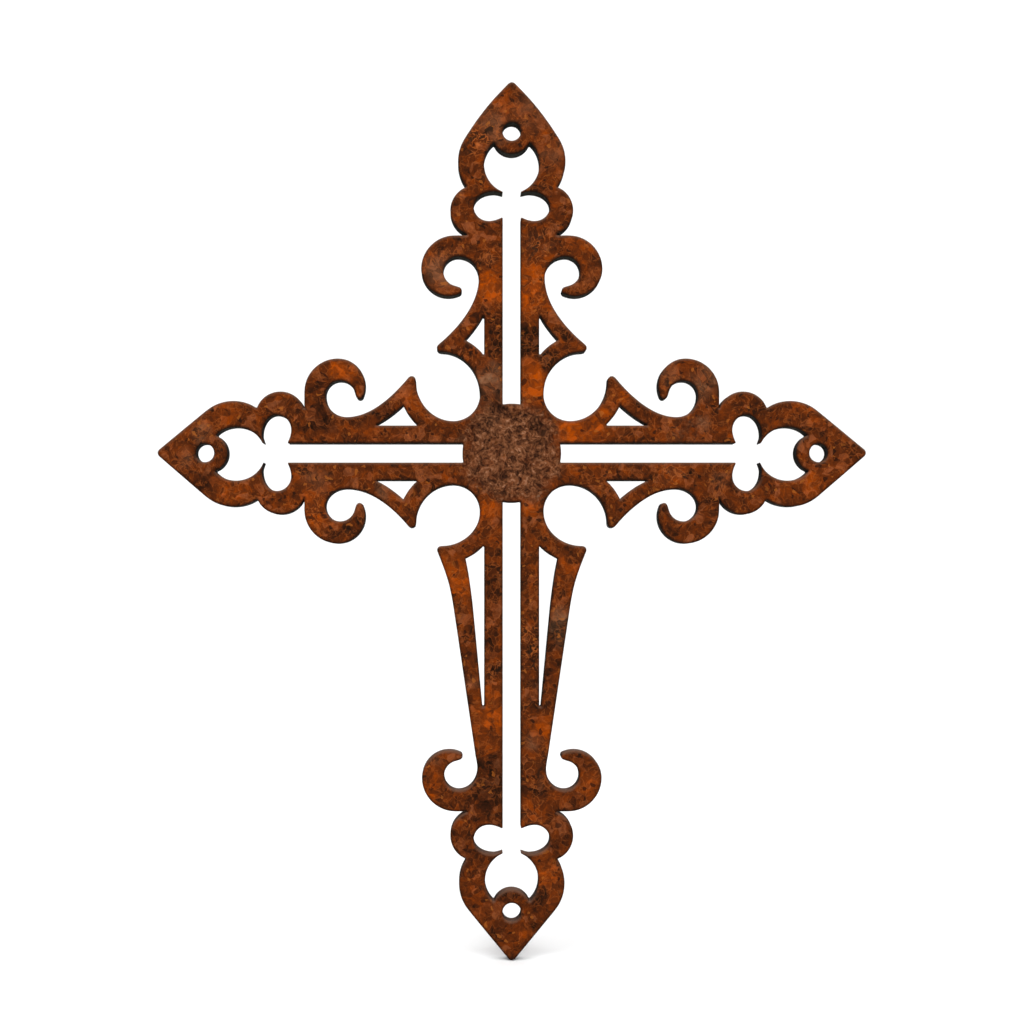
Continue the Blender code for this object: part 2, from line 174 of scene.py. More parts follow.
# Colours along a tone from 0 to 1
RUST_STOPS = (
    (0.00, (0.009, 0.004, 0.002)), (0.20, (0.028, 0.008, 0.003)), (0.42, (0.064, 0.014, 0.003)),
    (0.60, (0.108, 0.021, 0.003)), (0.80, (0.182, 0.031, 0.002)), (1.00, (0.300, 0.047, 0.001)),
)
GREY_STOPS = (
    (0.00, (0.012, 0.008, 0.005)), (0.35, (0.058, 0.026, 0.013)), (0.65, (0.120, 0.056, 0.028)),
    (1.00, (0.200, 0.100, 0.052)),
)
# The crust's own browns, which run into painted shade at the dark end and a painted highlight at the light
# end
CRUST_COLOUR_AND_SHADE_STOPS = (
    (0.00, (0.006, 0.003, 0.002)), (0.25, (0.034, 0.012, 0.006)), (0.50, (0.095, 0.034, 0.014)),
    (0.75, (0.180, 0.068, 0.029)), (1.00, (0.300, 0.145, 0.080)),
)
# Painted shade on the cut walls: dark grey where they face down, near black where they face sideways, and
# painted light in brown where they face up
WALL_PAINTED_SHADE_STOPS = (
    (0.00, (0.014, 0.014, 0.010)), (0.20, (0.006, 0.005, 0.004)), (0.60, (0.005, 0.004, 0.003)),
    (0.80, (0.045, 0.023, 0.016)), (1.00, (0.110, 0.060, 0.042)),
)
FLAKE_DARK = (0.022, 0.010, 0.005, 1.0)
LOOP_ORANGE = (0.330, 0.084, 0.018, 1.0)
SPECK_BLACK = (0.010, 0.005, 0.003, 1.0)
SPECK_ORANGE = (0.340, 0.095, 0.015, 1.0)
# Painted shade along the rim, and a painted highlight on its upward sides
RIM_PAINTED_SHADE = (0.010, 0.005, 0.003, 1.0)
RIM_PAINTED_HIGHLIGHT = (0.150, 0.075, 0.046, 1.0)

# Places pushed about by noise textures, one after the other: (forms for each metre, push in metres)
RUST_PUSHES = ((160.0, 0.0035), (620.0, 0.0015))
CRUMB_PUSHES = ((350.0, 0.0020), (900.0, 0.0006))
PUSH_DETAIL = 2.0

# Noise textures: forms for each metre, detail, and for some roughness and distortion
BROAD = (70.0, 3.0)
MOTTLE = (420.0, 5.0, 0.62, 0.8)
SWIRL = (300.0, 2.0, 0.5, 1.2)
SEAM_BREAKS = (330.0, 2.0)
LOOP_BREAKS = (260.0, 2.0)
GREY_BREAKS = (300.0, 4.0)
CRUMBS = (520.0, 1.0, 0.5, 0.8)

# Cells for each metre, and waves for each whole step of a noise
FLAKE_SCALE = 520.0
CHIP_SCALE = 1250.0
LOOP_WAVES = 5.0
CRUMB_WAVES = 2.5

# Ranges that become 0 to 1 or, where there are four numbers, the third to the fourth
CLOUD_RANGE = (0.34, 0.66)
LOWNESS_RANGE = (-0.01, FOOT_TIP)
SEAM_RANGE = (0.07, 0.02)
SEAM_SHOWN = (0.46, 0.58)
LOOP_RANGE = (0.35, 0.5)
LOOP_SHOWN = (0.38, 0.56)
GREY_SHOWN = (0.35, 0.60, 0.35, 1.0)
GREY_FLAKES = (0.80, 0.86)
GREY_FLAKES_MOTTLED = (0.3, 0.7, 0.05, 0.25)
GREY_FLAKES_OFF_ORANGE = (0.1, 0.6, 1.0, 0.15)
HOLLOWS = (0.50, 0.44, 0.0, 0.9)
BLACK_CHIPS = (0.972, 0.982, 0.0, 0.80)
ORANGE_CHIPS = (0.022, 0.012, 0.0, 0.45)
CRUMB_FEET = (0.04, 0.15, 0.0, 0.5)
CRUMB_TOPS = (0.33, 0.46, 0.0, 0.5)
CRUST_SHOWN = (0.10, 0.85)
CRUST_MOTTLED = (0.2, 0.8, 0.95, 0.72)
# Which way the rim faces sets how much painted shade and painted highlight it gets
RIM_SHADED = (-0.9, 0.4, 0.85, 0.35)
RIM_LIT = (0.1, 0.9, 0.0, 0.60)
WALL_RANGE = (-1.0, 1.0)

# What each part adds to a tone or to the fine relief, and the shift of each tone along its colours
TONE_SHARES = (
    ("mottle", 0.35), ("flake", 0.35), ("chip", 0.12), ("broad", 0.12), ("orange", 0.38),
    ("dark", -0.42), ("lowness", -0.07),
)
# The crust is darker low on its curls and crumbs and lighter high on them: painted shade in its hollows
# and painted highlight on its tops, over its own random tone
CRUST_SHARES = (("curl", 0.50), ("crumb", 0.50), ("chip", 0.22), ("dark", -0.35))
# Which way a wall faces sets its painted shade and painted light, and the mottle varies it at random
WALL_SHARES = (("wall_light_by_facing", 1.0), ("mottle", 0.10))
RELIEF_SHARES = (("mottle", 0.9), ("stroke", 0.6), ("crust_crumb", 1.6), ("chip", 0.25))
RUST_SHIFT = -0.01
GREY_SHIFT = 0.17
CRUST_SHIFT = -0.11
WALL_SHIFT = -0.05

# Strength of the orange lines: beside the loops, toward the foot, and in and out of the veined patches
SEAM_STRENGTH = 0.8
STROKE_LOSS_AT_FOOT = 0.40
STROKE_VEINED = 0.60
STROKE_PLAIN = 0.36

# Gloss and fine relief
ROUGHNESS = 0.62
ROUGHNESS_MOTTLE = 0.16
SPECULAR = 0.008
BUMP_STRENGTH = 0.9
BUMP_DISTANCE = 0.16 * MM

# The camera stands level in front of the plate, low and to the left, as in the photo
CAMERA_X = -13.3 * MM
CAMERA_Z = -31.9 * MM
CAMERA_AWAY = 395 * MM
CAMERA_CLIP = 10 * MM
SENSOR_WIDTH = 36.0
LENS_LENGTH = 53.4
SHIFT_X = 0.0501
SHIFT_Y = 0.06195

# The floor and the backdrop
FLOOR_GAP = 0.15 * MM
FLOOR_FRONT = -3.0
FLOOR_BEND = 0.9
BEND_RADIUS = 0.6
BEND_STEPS = 12
WALL_TOP = 2.6
STAGE_HALF = 3.0
PAPER = (0.86, 0.86, 0.86, 1.0)
PAPER_ROUGHNESS = 0.9

# Soft lights: (name, place, aim, size, power)
LIGHTS = (
    ("key", (-0.75, -1.3, 1.5), (0.0, 0.0, 0.0), 1.2, 26.0),
    ("key", (0.75, -1.3, 1.5), (0.0, 0.0, 0.0), 1.2, 20.0),
    ("fill", (0.3, -1.9, 0.5), (0.0, 0.0, 0.0), 1.6, 10.0),
    ("overhead", (0.0, 0.3, 2.2), (0.0, 0.1, 0.0), 2.0, 26.0),
)
SKY = (1.0, 1.0, 1.0, 1.0)
SKY_STRENGTH = 0.35


def front_rings(node):
    """The closed edges of the solid's front as rings of (x, z), with the metal on the left."""
    solid = bmesh.new()
    solid.from_mesh(node.data)
    bmesh.ops.remove_doubles(solid, verts=solid.verts, dist=JOIN_SLACK)
    fronts = {face for face in solid.faces if all(vert.co.y < FRONT + FRONT_SLACK for vert in face.verts)}
    following = {}
    for face in fronts:
        for loop in face.loops:
            if len(fronts.intersection(loop.edge.link_faces)) == 1:
                following[loop.vert] = loop.link_loop_next.vert
    rings = []
    while following:
        first = min(following, key=lambda vert: vert.index)
        ring = [first]
        while following[ring[-1]] is not first:
            ring.append(following[ring[-1]])
        for vert in ring:
            del following[vert]
        rings.append(np.array([(vert.co.x, vert.co.z) for vert in ring]))
    solid.free()
    return rings


def turned_left(steps):
    """Directions turned a quarter to the left."""
    return np.stack([-steps[:, 1], steps[:, 0]], 1)


def unit(steps):
    """The same directions with length one."""
    return steps / np.maximum(np.linalg.norm(steps, axis=1, keepdims=True), TINY)


def smooth_ring(ring):
    """The ring as a smooth curve through its points, cut into short steps, with sharp corners kept."""
    steps = np.roll(ring, -1, 0) - ring
    lengths = np.linalg.norm(steps, axis=1)
    ahead = unit(steps)
    behind = np.roll(ahead, 1, 0)
    soft = (ahead * behind).sum(1) > math.cos(SHARP_TURN)
    mean = unit(ahead + behind)
    reach = np.minimum(lengths, np.roll(lengths, 1)) / 3
    points = []
    for i in range(len(ring)):
        j = (i + 1) % len(ring)
        leave = mean[i] * reach[i] if soft[i] else ahead[i] * reach[i]
        arrive = mean[j] * reach[j] if soft[j] else ahead[i] * reach[j]
        count = max(1, math.ceil(lengths[i] / EDGE_STEP))
        t = (np.arange(count) / count)[:, None]
        points.append((1 - t) ** 3 * ring[i] + 3 * t * (1 - t) ** 2 * (ring[i] + leave)
                      + 3 * t * t * (1 - t) * (ring[j] - arrive) + t ** 3 * ring[j])
    return np.concatenate(points)


def inward(ring):
    """The direction into the metal at each point of a ring."""
    ahead = unit(np.roll(ring, -1, 0) - ring)
    return unit(turned_left(ahead + np.roll(ahead, 1, 0)))


class Outline:
    """The plate's edge, which tells how far inside the metal a point lies."""

    def __init__(self, rings):
        places = []
        normals = []
        for ring in rings:
            steps = np.roll(ring, -1, 0) - ring
            sides = turned_left(unit(steps))
            corners = inward(ring)
            for i, step in enumerate(steps):
                count = max(1, math.ceil(np.linalg.norm(step) / SAMPLE_STEP))
                shares = np.arange(count)[:, None] / count
                places.append(ring[i] + shares * step)
                normals.append(np.concatenate([corners[i:i + 1], np.repeat(sides[i:i + 1], count - 1, 0)]))
        self.places = np.concatenate(places)
        self.normals = np.concatenate(normals)
        self.tree = kdtree.KDTree(len(self.places))
        for i, place in enumerate(self.places):
            self.tree.insert((place[0], place[1], 0.0), i)
        self.tree.balance()

    def depth(self, points):
        """Distance to the edge, below zero outside the metal, and the edge's inward direction there."""
        found = [self.tree.find((x, z, 0.0))[1:] for x, z in points]
        nearest = np.array([index for index, _ in found])
        distance = np.array([far for _, far in found])
        inside = ((points - self.places[nearest]) * self.normals[nearest]).sum(1) >= 0
        return np.where(inside, distance, -distance), self.normals[nearest]

    def deep(self, points, distance):
        """The points that lie further inside the metal than a distance."""
        depth, _ = self.depth(points)
        return points[depth > distance]


def hashed(cell, seed):
    """A repeatable random share, 0 to 1, for each whole-numbered cell."""
    mixed = cell[..., 0] * HASH_AXES[0] ^ cell[..., 1] * HASH_AXES[1] ^ cell[..., 2] * HASH_AXES[2]
    mixed = (mixed ^ seed * HASH_SEED) & HASH_MASK
    for shift, factor in HASH_MIXES:
        mixed = (mixed ^ mixed >> shift) * factor & HASH_MASK
    return (mixed ^ mixed >> HASH_LAST) / HASH_MASK


def noise(points, size, seed):
    """Smooth noise of about -1 to 1, with forms of the given size."""
    places = points / size
    base = np.floor(places).astype(np.int64)
    part = places - base
    ease = part ** 3 * (part * (part * 6 - 15) + 10)
    total = np.zeros(len(points))
    for corner in itertools.product((0, 1), repeat=3):
        slope = np.stack([hashed(base + corner, 3 * seed + k) for k in range(3)], 1) * 2 - 1
        weight = np.prod(np.where(corner, ease, 1 - ease), 1)
        total += weight * ((part - corner) * slope).sum(1)
    return NOISE_GAIN * total


def cells(points, size, seed):
    """Distances to the nearest and the next cell centre, in sizes, and the nearest cell's own share."""
    places = points / size
    base = np.floor(places).astype(np.int64)
    nearest = np.full(len(points), np.inf)
    second = np.full(len(points), np.inf)
    own = np.zeros(len(points))
    for corner in itertools.product((-1, 0, 1), repeat=3):
        cell = base + corner
        centre = cell + np.stack([hashed(cell, 7 * seed + k) for k in range(3)], 1)
        far = np.linalg.norm(places - centre, axis=1)
        closer = far < nearest
        second = np.where(closer, nearest, np.minimum(second, far))
        own = np.where(closer, hashed(cell, 7 * seed + 5), own)
        nearest = np.where(closer, far, nearest)
    return nearest, second, own


def swirled(points, swirls):
    """Points pushed about by noise, which turns straight forms into curls."""
    for size, amount, seed in swirls:
        push = np.stack([noise(points, size, seed + k) for k in range(3)], 1)
        points = points + amount * push
    return points


def ridged(points, size, seed):
    """Ridges that are 1 along the noise's zero lines and fall to 0 beside them."""
    return np.clip(1 - RIDGE_STEEPNESS * np.abs(noise(points, size, seed)), 0, 1)


def ease_in(values, low, high):
    """0 below low, 1 above high, and a smooth rise between."""
    share = np.clip((values - low) / (high - low), 0, 1)
    return share * share * (3 - 2 * share)


def patches(ragged, spots, blur):
    """How strongly a list of round patches covers each point; swirled points make their edges ragged."""
    cover = np.zeros(len(ragged))
    for x, z, radius, strength in spots:
        far = np.hypot(ragged[:, 0] - x * MM, ragged[:, 2] - z * MM) / (radius * MM)
        cover = np.maximum(cover, strength * (1 - ease_in(far, 1 - blur, 1 + BLUR_OUTSIDE * blur)))
    return cover


def hex_grid(low, high, step, seed):
    """Points of a triangular grid over a box, each moved a little at random."""
    rows = int((high[1] - low[1]) / (step * ROW_SHARE)) + 1
    columns = int((high[0] - low[0]) / step) + 1
    row, column = np.mgrid[0:rows, 0:columns]
    x = low[0] + (column + 0.5 * (row % 2)) * step
    z = low[1] + row * step * ROW_SHARE
    grid = np.stack([x.ravel(), z.ravel()], 1)
    return grid + np.random.default_rng(seed).uniform(-JITTER, JITTER, grid.shape) * step


def rim_points(rings, outline, rows):
    """Rows of points inside the edge, at the given distances from it."""
    found = []
    for row in rows:
        placed = np.concatenate([ring + row * inward(ring) for ring in rings])
        found.append(outline.deep(placed, ROW_KEPT * row))
    return found


def front_points(rings, outline):
    """Points for the front: rows along the rounded rim, and a grid that is finer in the crust."""
    coarse = hex_grid((PLATE_LOW.x, PLATE_LOW.z), (PLATE_HIGH.x, PLATE_HIGH.z), FACE_STEP, seed=1)
    fine = hex_grid((-CRUST_REACH, -CRUST_REACH), (CRUST_REACH, CRUST_REACH), CRUST_STEP, seed=2)
    coarse = coarse[np.linalg.norm(coarse, axis=1) > CRUST_REACH]
    fine = fine[np.linalg.norm(fine, axis=1) < CRUST_REACH - CRUST_GAP * FACE_STEP]
    found = rim_points(rings, outline, RIM_ROWS)
    for grid, step in ((coarse, FACE_STEP), (fine, CRUST_STEP)):
        found.append(outline.deep(grid, RIM_ROWS[-1] + RIM_GAP * step))
    return np.concatenate(found)


def back_points(rings, outline):
    """Points for the back: a row along its edge, and a plain coarse grid."""
    grid = hex_grid((PLATE_LOW.x, PLATE_LOW.z), (PLATE_HIGH.x, PLATE_HIGH.z), BACK_STEP, seed=3)
    found = rim_points(rings, outline, (BACK_BEVEL,))
    found.append(outline.deep(grid, BACK_BEVEL + BACK_GAP * BACK_STEP))
    return np.concatenate(found)


def triangulated(rings, inner, outline):
    """Triangles over the metal between the rings, through the inner points."""
    points = np.concatenate(rings + [inner])
    edges = []
    start = 0
    for ring in rings:
        count = len(ring)
        edges += [(start + i, start + (i + 1) % count) for i in range(count)]
        start += count
    coords = [tuple(point) for point in (points / MM).tolist()]
    found = geometry.delaunay_2d_cdt(coords, edges, [], 0, TRIANGLE_SLACK)
    triangles = np.array(found[2])
    if len(found[0]) != len(points):
        raise ValueError("the triangulation merged points")
    on_edge = (triangles < start).all(1)
    depth, _ = outline.depth(points[triangles[on_edge]].mean(1))
    keep = np.ones(len(triangles), bool)
    keep[on_edge] = depth > 0
    return points, triangles[keep]


def turned(flat, triangles, to_back):
    """Triangles in (x, z) in the order that makes their normals point to the back or to the front."""
    a, b, c = (flat[triangles[:, k]] for k in range(3))
    area = (b - a)[:, 0] * (c - a)[:, 1] - (b - a)[:, 1] * (c - a)[:, 0]
    return triangles if (area.sum() < 0) == to_back else triangles[:, ::-1]


def in_space(flat, levels):
    """Places with the given (x, z) and levels along Y."""
    return np.stack([flat[:, 0], levels, flat[:, 1]], 1)


def front_relief(flat):
    """How high the rust stands on the front, with the crust's own form and its cover from 0 to 1."""
    points = in_space(flat, np.zeros(len(flat)))
    crust = patches(swirled(points, RAGGED_SWIRLS), CRUSTED, CRUST_BLUR)
    curls = swirled(points, CURL_SWIRLS)
    ridge = ridged(curls, CURL_SIZE, seed=30)
    grain = ridged(curls, GRAIN_SIZE, seed=31)
    lump = 0.5 + 0.5 * noise(points, LUMP_SIZE, seed=32)
    curl = RIDGE_SHARE * ridge + GRAIN_SHARE * grain + LUMP_SHARE * (lump - 0.5) + CURL_BASE
    curl = np.clip(curl, 0, 1)
    nearest, second, own = cells(swirled(points, FLAKE_SWIRLS), FLAKE_SIZE, seed=6)
    flake = ease_in(second - nearest, 0.0, FLAKE_SEAM) * (own - FLAKE_MIDDLE)
    height = FLAKE_HEIGHT * flake * (1 - crust) + SWAY * noise(points, SWAY_SIZE, seed=60)
    return height + CURL_HEIGHT * crust * (curl - CURL_MIDDLE), curl, crust


def rim_drop(depth):
    """How far the rounded rim falls back from the face, at each distance from the edge."""
    short = np.clip(RIM_ROUND - depth, 0, RIM_ROUND)
    return RIM_ROUND - np.sqrt(RIM_ROUND ** 2 - short ** 2)


def wall_rows(top, toward):
    """Rows of points down the walls below the front's edge, which wander a little into the metal."""
    rows = []
    for share in np.linspace(0, 1, WALL_ROWS + 2)[1:-1]:
        row = top.copy()
        row[:, 1] = (1 - share) * top[:, 1] + share * (BACK - BACK_BEVEL)
        wander = WALL_WANDER * (1 + noise(row, WANDER_SIZE, seed=70)) * math.sin(math.pi * share)
        row[:, [0, 2]] += wander[:, None] * toward
        rows.append(row)
    return rows


def back_sheet(rings, outline, edge_count):
    """The flat back with its fine bevel: places and triangles."""
    flat, triangles = triangulated(rings, back_points(rings, outline), outline)
    depth, _ = outline.depth(flat)
    depth[:edge_count] = 0.0
    level = BACK - np.clip(BACK_BEVEL - depth, 0, BACK_BEVEL)
    return in_space(flat, level), turned(flat, triangles, to_back=True)


def next_points(rings):
    """The number of the next point round the ring, for each point of the rings."""
    following = []
    start = 0
    for ring in rings:
        following.append(start + (np.arange(len(ring)) + 1) % len(ring))
        start += len(ring)
    return np.concatenate(following)


def plate_mesh(name, rings, outline):
    """The whole plate as one closed mesh, with its relief and the values that its rust reads."""
    flat, front_triangles = triangulated(rings, front_points(rings, outline), outline)
    toward_metal = np.concatenate([inward(ring) for ring in rings])
    edge_count = len(toward_metal)
    depth, toward = outline.depth(flat)
    depth[:edge_count] = 0.0
    toward[:edge_count] = toward_metal
    height, curl, crust = front_relief(flat)
    calm = ease_in(depth, 0.0, CALM_REACH)
    relief = height * (RELIEF_AT_EDGE + (1 - RELIEF_AT_EDGE) * calm)
    front = in_space(flat, np.maximum(FRONT + SINK + rim_drop(depth) - relief, FRONT))
    back, back_triangles = back_sheet(rings, outline, edge_count)

    rows = [front] + wall_rows(front[:edge_count], toward_metal) + [back]
    starts = [0] + list(np.cumsum([len(row) for row in rows])[:-1])
    here = np.arange(edge_count)
    following = next_points(rings)
    faces = [turned(flat, front_triangles, to_back=False)]
    for near, far in zip(starts, starts[1:]):
        faces.append(np.stack([near + here, far + here, far + following], 1))
        faces.append(np.stack([near + here, far + following, near + following], 1))
    faces.append(starts[-1] + back_triangles)
    mesh = bpy.data.meshes.new(name)
    mesh.from_pydata(np.concatenate(rows).tolist(), [], np.concatenate(faces).tolist())
    mesh.validate()
    mesh.shade_smooth()

    count = len(mesh.vertices)
    values = edge_values(count, starts, depth, toward, edge_count)
    values["curl"] = padded(curl, count)
    values["crust"] = padded(crust, count)
    ragged = swirled(np.array([vertex.co for vertex in mesh.vertices]), RAGGED_SWIRLS)
    for label, spots in COLOUR_PATCHES.items():
        values[label] = patches(ragged, spots, PATCH_BLUR)
        values[label][starts[-1]:] = 0.0
    for label, numbers in values.items():
        attribute = mesh.attributes.new(label, "FLOAT", "POINT")
        attribute.data.foreach_set("value", numbers.astype(np.float32))
    return mesh


def edge_values(count, starts, depth, toward, edge_count):
    """Which points belong to the walls and the rim, and how far each side looks up."""
    walls_start = starts[1]
    walls_end = starts[-1] + edge_count
    wall = np.zeros(count)
    wall[walls_start:walls_end] = 1.0
    wall[:edge_count] = WALL_AT_RIM
    rim = np.zeros(count)
    rim[:walls_start] = 1 - ease_in(depth, *RIM_BAND)
    rim[walls_start:walls_end] = 1.0
    facing_up = np.zeros(count)
    facing_up[:walls_start] = -toward[:, 1]
    for begin in starts[1:]:
        facing_up[begin:begin + edge_count] = -toward[:edge_count, 1]
    return {"wall": wall, "rim": rim, "facing_up": facing_up}


def padded(numbers, count):
    """Values for the front's points, with zeros for all others."""
    return np.concatenate([numbers, np.zeros(count - len(numbers))])


def add(tree, kind, inputs=None, **settings):
    """A shader node with its settings, and its inputs set to numbers or linked to outputs."""
    made = tree.nodes.new("ShaderNode" + kind)
    for name, value in settings.items():
        setattr(made, name, value)
    for name, value in (inputs or {}).items():
        if isinstance(value, bpy.types.NodeSocket):
            tree.links.new(value, made.inputs[name])
        else:
            made.inputs[name].default_value = value
    return made


def calc(tree, operation, *numbers, clamp=False):
    """The result of one sum on numbers or outputs."""
    made = add(tree, "Math", dict(enumerate(numbers)), operation=operation, use_clamp=clamp)
    return made.outputs[0]


def spread(tree, value, low, high, out_low=0.0, out_high=1.0):
    """A value stretched from one range to another, and held inside it."""
    made = add(tree, "MapRange", {0: value, 1: low, 2: high, 3: out_low, 4: out_high})
    return made.outputs[0]


def blend(tree, share, first, second):
    """Two colours mixed by a share."""
    made = add(tree, "Mix", {0: share, 6: first, 7: second}, data_type="RGBA")
    return made.outputs[2]


def weighed(tree, parts, shares):
    """The sum of several parts, each times its share."""
    total = 0.0
    for name, share in shares:
        total = calc(tree, "MULTIPLY_ADD", parts[name], share, total)
    return total


def coloured(tree, tone, shift, stops):
    """A shifted tone's colour between stops that run from 0 to 1."""
    made = add(tree, "ValToRGB", {0: calc(tree, "ADD", tone, shift, clamp=True)})
    elements = made.color_ramp.elements
    while len(elements) < len(stops):
        elements.new(0.5)
    for element, (place, colour) in zip(elements, stops):
        element.position = place
        element.color = (*colour, 1.0)
    return made.outputs[0]


def clouds(tree, where, scale, detail, roughness=0.5, distortion=0.0):
    """A noise texture's value."""
    made = add(tree, "TexNoise", {"Vector": where, "Scale": scale, "Detail": detail,
                                  "Roughness": roughness, "Distortion": distortion})
    return made.outputs[0]


def cell_share(tree, where, scale):
    """A random share for each cell of a cell texture."""
    made = add(tree, "TexVoronoi", {"Vector": where, "Scale": scale}, feature="F1")
    return add(tree, "SeparateColor", {0: made.outputs["Color"]}).outputs[0]


def wave(tree, value, waves):
    """A value's equal levels as a wave between 0 and 0.5."""
    return calc(tree, "PINGPONG", calc(tree, "MULTIPLY", value, waves), 0.5)


def curled(tree, where, pushes):
    """A place pushed about by noise textures, one after the other."""
    for scale, amount in pushes:
        texture = add(tree, "TexNoise", {"Vector": where, "Scale": scale, "Detail": PUSH_DETAIL})
        centred = add(tree, "VectorMath", {0: texture.outputs[1], 1: (0.5, 0.5, 0.5)},
                      operation="SUBTRACT")
        moved = add(tree, "VectorMath", {0: centred.outputs[0], 1: (amount,) * 3, 2: where},
                    operation="MULTIPLY_ADD")
        where = moved.outputs[0]
    return where


def stored(tree, name):
    """A value that the mesh carries."""
    return add(tree, "Attribute", attribute_name=name).outputs["Fac"]


def rust_parts(tree, where, bent):
    """The forms that the rust is made of, and the values that the mesh carries."""
    names = ("wall", "rim", "facing_up", "curl", "crust", *COLOUR_PATCHES)
    parts = {name: stored(tree, name) for name in names}
    height = add(tree, "SeparateXYZ", {0: where}).outputs["Z"]
    parts["lowness"] = spread(tree, height, *LOWNESS_RANGE)
    parts["broad"] = spread(tree, clouds(tree, where, *BROAD), *CLOUD_RANGE)
    parts["mottle"] = spread(tree, clouds(tree, bent, *MOTTLE), *CLOUD_RANGE)
    parts["swirl"] = clouds(tree, bent, *SWIRL)
    parts["flake"] = cell_share(tree, bent, FLAKE_SCALE)
    parts["chip"] = cell_share(tree, bent, CHIP_SCALE)
    # How far a wall faces up, which sets its painted shade and painted light
    parts["wall_light_by_facing"] = spread(tree, parts["facing_up"], *WALL_RANGE)
    parts["stroke"] = strokes(tree, where, bent, parts)
    parts["crumb"] = crumbs(tree, where)
    parts["crust_crumb"] = calc(tree, "MULTIPLY", parts["crumb"], parts["crust"])
    return parts


def strokes(tree, where, bent, parts):
    """Broken thin lines, as loops round the swirls and seams between the flakes, fainter at the foot."""
    loop = calc(tree, "MULTIPLY", spread(tree, wave(tree, parts["swirl"], LOOP_WAVES), *LOOP_RANGE),
                spread(tree, clouds(tree, where, *LOOP_BREAKS), *LOOP_SHOWN))
    flakes = add(tree, "TexVoronoi", {"Vector": bent, "Scale": FLAKE_SCALE}, feature="DISTANCE_TO_EDGE")
    seam = calc(tree, "MULTIPLY", spread(tree, flakes.outputs["Distance"], *SEAM_RANGE),
                spread(tree, clouds(tree, where, *SEAM_BREAKS), *SEAM_SHOWN))
    line = calc(tree, "MAXIMUM", loop, calc(tree, "MULTIPLY", seam, SEAM_STRENGTH))
    left = calc(tree, "MULTIPLY_ADD", parts["lowness"], -STROKE_LOSS_AT_FOOT, 1.0)
    return calc(tree, "MULTIPLY", line, left)


def crumbs(tree, where):
    """The crust's crumbs, which rise in two steps; the rise gives their bump, and also their painted shade
    at the feet and their painted highlight on the tops.
    """
    place = curled(tree, where, CRUMB_PUSHES)
    levels = wave(tree, clouds(tree, place, *CRUMBS), CRUMB_WAVES)
    return calc(tree, "ADD", spread(tree, levels, *CRUMB_FEET), spread(tree, levels, *CRUMB_TOPS))


def flaked_rust(tree, bent, parts):
    """Brown and orange rust, with grey patches and single grey flakes."""
    tone = weighed(tree, parts, TONE_SHARES)
    brown = coloured(tree, tone, RUST_SHIFT, RUST_STOPS)
    grey = coloured(tree, tone, GREY_SHIFT, GREY_STOPS)
    patch = calc(tree, "MULTIPLY", parts["grey"],
                 spread(tree, clouds(tree, bent, *GREY_BREAKS), *GREY_SHOWN))
    flakes = calc(tree, "MULTIPLY", spread(tree, parts["flake"], *GREY_FLAKES),
                  spread(tree, parts["mottle"], *GREY_FLAKES_MOTTLED))
    flakes = calc(tree, "MULTIPLY", flakes, spread(tree, parts["orange"], *GREY_FLAKES_OFF_ORANGE))
    return blend(tree, calc(tree, "MAXIMUM", patch, flakes), brown, grey)


def marked_rust(tree, rust, parts):
    """The rust with dark hollows, orange lines, and black and orange specks."""
    hollow = calc(tree, "MULTIPLY", parts["veined"], spread(tree, parts["swirl"], *HOLLOWS))
    rust = blend(tree, hollow, rust, FLAKE_DARK)
    shown = calc(tree, "MULTIPLY_ADD", parts["veined"], STROKE_VEINED, STROKE_PLAIN)
    rust = blend(tree, calc(tree, "MULTIPLY", parts["stroke"], shown), rust, LOOP_ORANGE)
    rust = blend(tree, spread(tree, parts["chip"], *BLACK_CHIPS), rust, SPECK_BLACK)
    return blend(tree, spread(tree, parts["chip"], *ORANGE_CHIPS), rust, SPECK_ORANGE)


def crusted_rust(tree, rust, parts):
    """The rust with the curled crust over it, darker low on its curls and crumbs and lighter high on them,
    as painted shade in its hollows and painted highlight on its tops.
    """
    crust = coloured(tree, weighed(tree, parts, CRUST_SHARES), CRUST_SHIFT, CRUST_COLOUR_AND_SHADE_STOPS)
    share = calc(tree, "MULTIPLY", spread(tree, parts["crust"], *CRUST_SHOWN),
                 spread(tree, parts["mottle"], *CRUST_MOTTLED))
    return blend(tree, share, rust, crust)


def edged_rust(tree, rust, parts):
    """The rust with painted shade along its rounded rim, strongest where it faces down, and a painted
    highlight where it faces up, and with the cut walls in painted shade, lit brown by painted light where
    they face up.
    """
    for limits, colour in ((RIM_SHADED, RIM_PAINTED_SHADE), (RIM_LIT, RIM_PAINTED_HIGHLIGHT)):
        share = calc(tree, "MULTIPLY", parts["rim"], spread(tree, parts["facing_up"], *limits))
        rust = blend(tree, share, rust, colour)
    # The cut walls get painted shade, with painted light where they face up
    walls = coloured(tree, weighed(tree, parts, WALL_SHARES), WALL_SHIFT, WALL_PAINTED_SHADE_STOPS)
    return blend(tree, parts["wall"], rust, walls)


